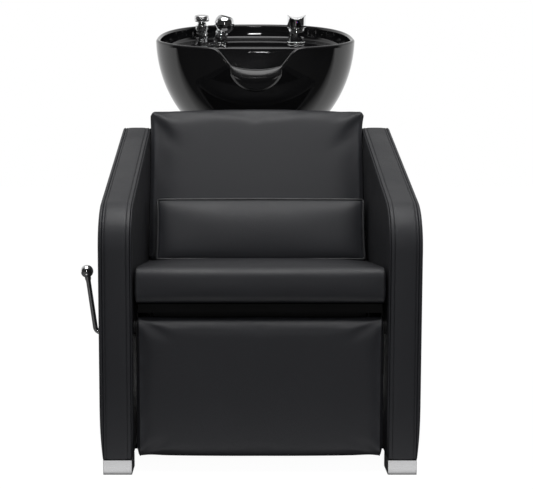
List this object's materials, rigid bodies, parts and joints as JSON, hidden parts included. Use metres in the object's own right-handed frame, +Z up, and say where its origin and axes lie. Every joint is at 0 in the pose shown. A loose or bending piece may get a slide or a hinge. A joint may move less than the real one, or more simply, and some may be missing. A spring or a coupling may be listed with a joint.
{
  "type": "salon hair washing bed",
  "caption": "Upholstered backwash chair with padded arms, a lever-raised leg rest and a black tilting wash bowl with neck rest, drain, mixer and pull-out spray.",
  "frame": {"origin": "on the floor, in the middle of the four floor bolt holes", "axes": "+Z up, -Y towards the foot of the bed, +X to the right of someone who faces its front"},
  "size_m": [0.7185, 1.1494, 1.0166],
  "materials": {
    "vinyl": "satin",
    "plywood": "matte",
    "foot_metal": "satin",
    "frame_paint": "satin",
    "bare_steel": "satin",
    "chrome": "polished",
    "black_plastic": "matte",
    "glaze": "gloss",
    "neck_rubber": "gloss"
  },
  "bodies": {
    "base": {"arm_outer_pad_left": "vinyl", "arm_outer_pad_right": "vinyl", "arm_inner_pad_left": "vinyl", "arm_inner_pad_right": "vinyl", "arm_band_left": "vinyl", "arm_band_right": "vinyl", "seat_cushion": "vinyl", "back_cushion": "vinyl", "lumbar_pillow": "vinyl", "arm_core_left": "plywood", "arm_core_right": "plywood", "seat_board": "plywood", "back_board": "plywood", "feet": "foot_metal", "seat_side_rail_left": "frame_paint", "seat_side_rail_right": "frame_paint", "seat_front_rail": "frame_paint", "seat_rear_rail": "frame_paint", "back_rails": "frame_paint", "base_front_rail": "frame_paint", "base_middle_rail": "frame_paint", "base_rear_rail": "frame_paint", "base_long_rail_left": "frame_paint", "base_long_rail_right": "frame_paint", "bowl_post_left": "frame_paint", "bowl_post_right": "frame_paint", "bowl_beam": "frame_paint", "pedestal_cover": "frame_paint", "hinge_bracket_left": "frame_paint", "hinge_bracket_right": "frame_paint", "shaft_bearings": "frame_paint", "frame_spacers": "bare_steel", "frame_bolts": "bare_steel", "tilt_pin": "bare_steel", "lever_bush": "black_plastic"},
    "leg_rest": {"legrest_pad": "vinyl", "legrest_board": "plywood", "legrest_end_plate_left": "frame_paint", "legrest_end_plate_right": "frame_paint", "legrest_lug_left": "frame_paint", "legrest_lug_right": "frame_paint"},
    "leg_drive": {"drive_shaft": "bare_steel", "lever_rod": "chrome", "lever_knob": "chrome"},
    "link_left": {"push_link_left": "bare_steel"},
    "link_right": {"push_link_right": "bare_steel"},
    "tilt_bowl": {"bowl": "glaze", "neck_rest": "neck_rubber", "drain_fitting": "chrome", "tilt_bracket": "frame_paint", "tap_base": "chrome", "vacuum_breaker": "chrome", "vacuum_breaker_cap": "chrome", "handset_holder": "chrome", "mixer_body": "chrome"},
    "drain_strainer": {"strainer": "chrome"},
    "handset": {"handset_body": "chrome", "handset_face": "black_plastic"},
    "mixer_stem": {"mixer_cartridge": "chrome"},
    "mixer_grip": {"mixer_handle": "chrome"}
  },
  "joints": [
    {"name": "legrest_lift", "type": "hinge", "parent": "base", "child": "leg_rest", "pos_m": [0, -0.548, 0.304], "axis": [-1, 0, 0], "range_deg": [0, 78]},
    {"name": "lever_turn", "type": "hinge", "parent": "base", "child": "leg_drive", "pos_m": [0, -0.38, 0.262], "axis": [-1, 0, 0], "range_deg": [0, 78]},
    {"name": "link_left_turn", "type": "hinge", "parent": "leg_drive", "child": "link_left", "pos_m": [0, -0.35, 0.22], "axis": [-1, 0, 0], "range_deg": [-78, 0]},
    {"name": "link_right_turn", "type": "hinge", "parent": "leg_drive", "child": "link_right", "pos_m": [0, -0.35, 0.22], "axis": [-1, 0, 0], "range_deg": [-78, 0]},
    {"name": "bowl_tilt", "type": "hinge", "parent": "base", "child": "tilt_bowl", "pos_m": [0, 0.30845, 0.64423], "axis": [-1, 0, 0], "range_deg": [0, 12]},
    {"name": "strainer_lift", "type": "slide", "parent": "tilt_bowl", "child": "drain_strainer", "axis": [0, -0.1736, 0.9848], "range_m": [0, 0.3]},
    {"name": "handset_pull", "type": "slide", "parent": "tilt_bowl", "child": "handset", "axis": [0.2588, -0.1677, 0.9513], "range_m": [0, 0.2]},
    {"name": "mixer_swivel", "type": "hinge", "parent": "tilt_bowl", "child": "mixer_stem", "pos_m": [0.119, 0.46733, 0.93524], "axis": [0, -0.1736, 0.9848], "range_deg": [-45, 45]},
    {"name": "mixer_lift", "type": "hinge", "parent": "mixer_stem", "child": "mixer_grip", "pos_m": [0.119, 0.48555, 0.98161], "axis": [-1, 0, 0], "range_deg": [0, 18]}
  ],
  "couplings": [
    {"joint": "lever_turn", "follows": "legrest_lift", "ratio": 1},
    {"joint": "link_left_turn", "follows": "legrest_lift", "ratio": -1},
    {"joint": "link_right_turn", "follows": "legrest_lift", "ratio": -1}
  ]
}
